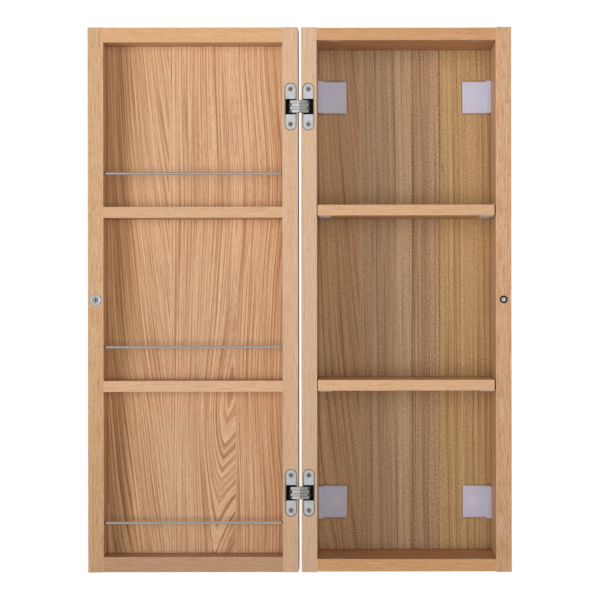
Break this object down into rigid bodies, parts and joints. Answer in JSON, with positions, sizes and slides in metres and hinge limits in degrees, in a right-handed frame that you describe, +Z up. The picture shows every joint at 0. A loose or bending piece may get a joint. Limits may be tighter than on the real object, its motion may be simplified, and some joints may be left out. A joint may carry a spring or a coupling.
{
  "type": "wall-hung medicine cabinet with a mirror door",
  "caption": "Tall shallow oak wall cabinet whose mirror door is itself a shelved box with guard rods, on concealed link hinges, with fixed shelves inside and hidden wall brackets.",
  "frame": {"origin": "centre of the four wall screw holes, in the plane of the wall, on the carcass's vertical centreline", "axes": "+Z up, +Y into the wall, +X to the viewer's right; the door is at rest fully open, to the left of the carcass"},
  "size_m": [0.544, 0.1449, 0.7],
  "materials": {
    "oak_boards": "oiled solid oak, vertical grain",
    "oak_panels": "oiled solid oak, grain along X",
    "oak_back": "oiled oak veneer",
    "oak_door_panel": "oiled oak veneer with a cathedral figure",
    "beech": "plain beech",
    "cam_zinc": "die-cast zinc",
    "bolt_steel": "zinc-plated steel",
    "cap_plastic": "matt moulded plastic",
    "connector_plastic": "satin moulded plastic",
    "stud_steel": "zinc-plated steel",
    "bracket_steel": "zinc-plated steel",
    "cover_plastic": "satin moulded plastic",
    "screw_steel": "zinc-plated steel",
    "magnet_case": "matt black plastic",
    "magnet_metal": "nickel-plated",
    "hinge_zinc": "satin nickel-plated zinc",
    "hinge_pin": "bright steel",
    "hinge_arm": "brushed steel",
    "rod_steel": "polished stainless steel",
    "mirror_silver": "silvered float glass",
    "tape_foam": "foam mounting tape",
    "strike_metal": "nickel-plated steel"
  },
  "bodies": {
    "carcass": {"carcass_side_left": "oak_boards", "carcass_side_right": "oak_boards", "carcass_top": "oak_panels", "carcass_bottom": "oak_panels", "carcass_back_panel": "oak_back", "carcass_shelf_upper": "oak_panels", "carcass_shelf_lower": "oak_panels", "cam_locks": "cam_zinc", "cam_bolts": "bolt_steel", "cam_cover_caps": "cap_plastic", "carcass_dowels": "beech", "shelf_connectors": "connector_plastic", "shelf_studs": "stud_steel", "hanger_bracket_upper_left": "bracket_steel", "hanger_bracket_upper_right": "bracket_steel", "hanger_bracket_lower_left": "bracket_steel", "hanger_bracket_lower_right": "bracket_steel", "hanger_cover_upper_left": "cover_plastic", "hanger_cover_upper_right": "cover_plastic", "hanger_cover_lower_left": "cover_plastic", "hanger_cover_lower_right": "cover_plastic", "bracket_screws": "screw_steel", "magnet_housing": "magnet_case", "magnet": "magnet_metal", "hinge_cup_carcass_upper": "hinge_zinc", "hinge_cup_carcass_lower": "hinge_zinc", "hinge_screws_carcass": "screw_steel", "hinge_pins_carcass": "hinge_pin"},
    "door": {"door_stile_hinge": "oak_boards", "door_stile_catch": "oak_boards", "door_rail_top": "oak_panels", "door_rail_bottom": "oak_panels", "door_panel": "oak_door_panel", "door_shelf_upper": "oak_panels", "door_shelf_lower": "oak_panels", "guard_rod_upper": "rod_steel", "guard_rod_middle": "rod_steel", "guard_rod_lower": "rod_steel", "door_dowels": "beech", "mirror_glass": "mirror_silver", "mirror_tape": "tape_foam", "strike_plate": "strike_metal", "strike_screw": "screw_steel", "hinge_cup_door_upper": "hinge_zinc", "hinge_cup_door_lower": "hinge_zinc", "hinge_screws_door": "screw_steel", "hinge_pins_door": "hinge_pin"},
    "arms_a_upper": {"hinge_arms_a_upper": "hinge_arm"},
    "arms_a_lower": {"hinge_arms_a_lower": "hinge_arm"},
    "arms_b_upper": {"hinge_arms_b_upper": "hinge_arm"},
    "arms_b_lower": {"hinge_arms_b_lower": "hinge_arm"}
  },
  "joints": [
    {"name": "door_hinge", "type": "hinge", "parent": "carcass", "child": "door", "pos_m": [-0.137, -0.141, 0], "axis": [0, 0, 1], "range_deg": [0, 180]},
    {"name": "arms_a_upper_pivot", "type": "hinge", "parent": "carcass", "child": "arms_a_upper", "pos_m": [-0.1299, -0.1344, 0.248], "axis": [0, 0, 1], "range_deg": [0, 93.5]},
    {"name": "arms_b_upper_pivot", "type": "hinge", "parent": "door", "child": "arms_b_upper", "pos_m": [-0.1441, -0.1344, 0.248], "axis": [0, 0, 1], "range_deg": [-93.5, 0]},
    {"name": "arms_a_lower_pivot", "type": "hinge", "parent": "carcass", "child": "arms_a_lower", "pos_m": [-0.1299, -0.1344, -0.248], "axis": [0, 0, 1], "range_deg": [0, 93.5]},
    {"name": "arms_b_lower_pivot", "type": "hinge", "parent": "door", "child": "arms_b_lower", "pos_m": [-0.1441, -0.1344, -0.248], "axis": [0, 0, 1], "range_deg": [-93.5, 0]}
  ],
  "couplings": [
    {"joint": "arms_a_upper_pivot", "follows": "door_hinge", "ratio": 0.51916},
    {"joint": "arms_b_upper_pivot", "follows": "door_hinge", "ratio": -0.51916},
    {"joint": "arms_a_lower_pivot", "follows": "door_hinge", "ratio": 0.51916},
    {"joint": "arms_b_lower_pivot", "follows": "door_hinge", "ratio": -0.51916}
  ]
}
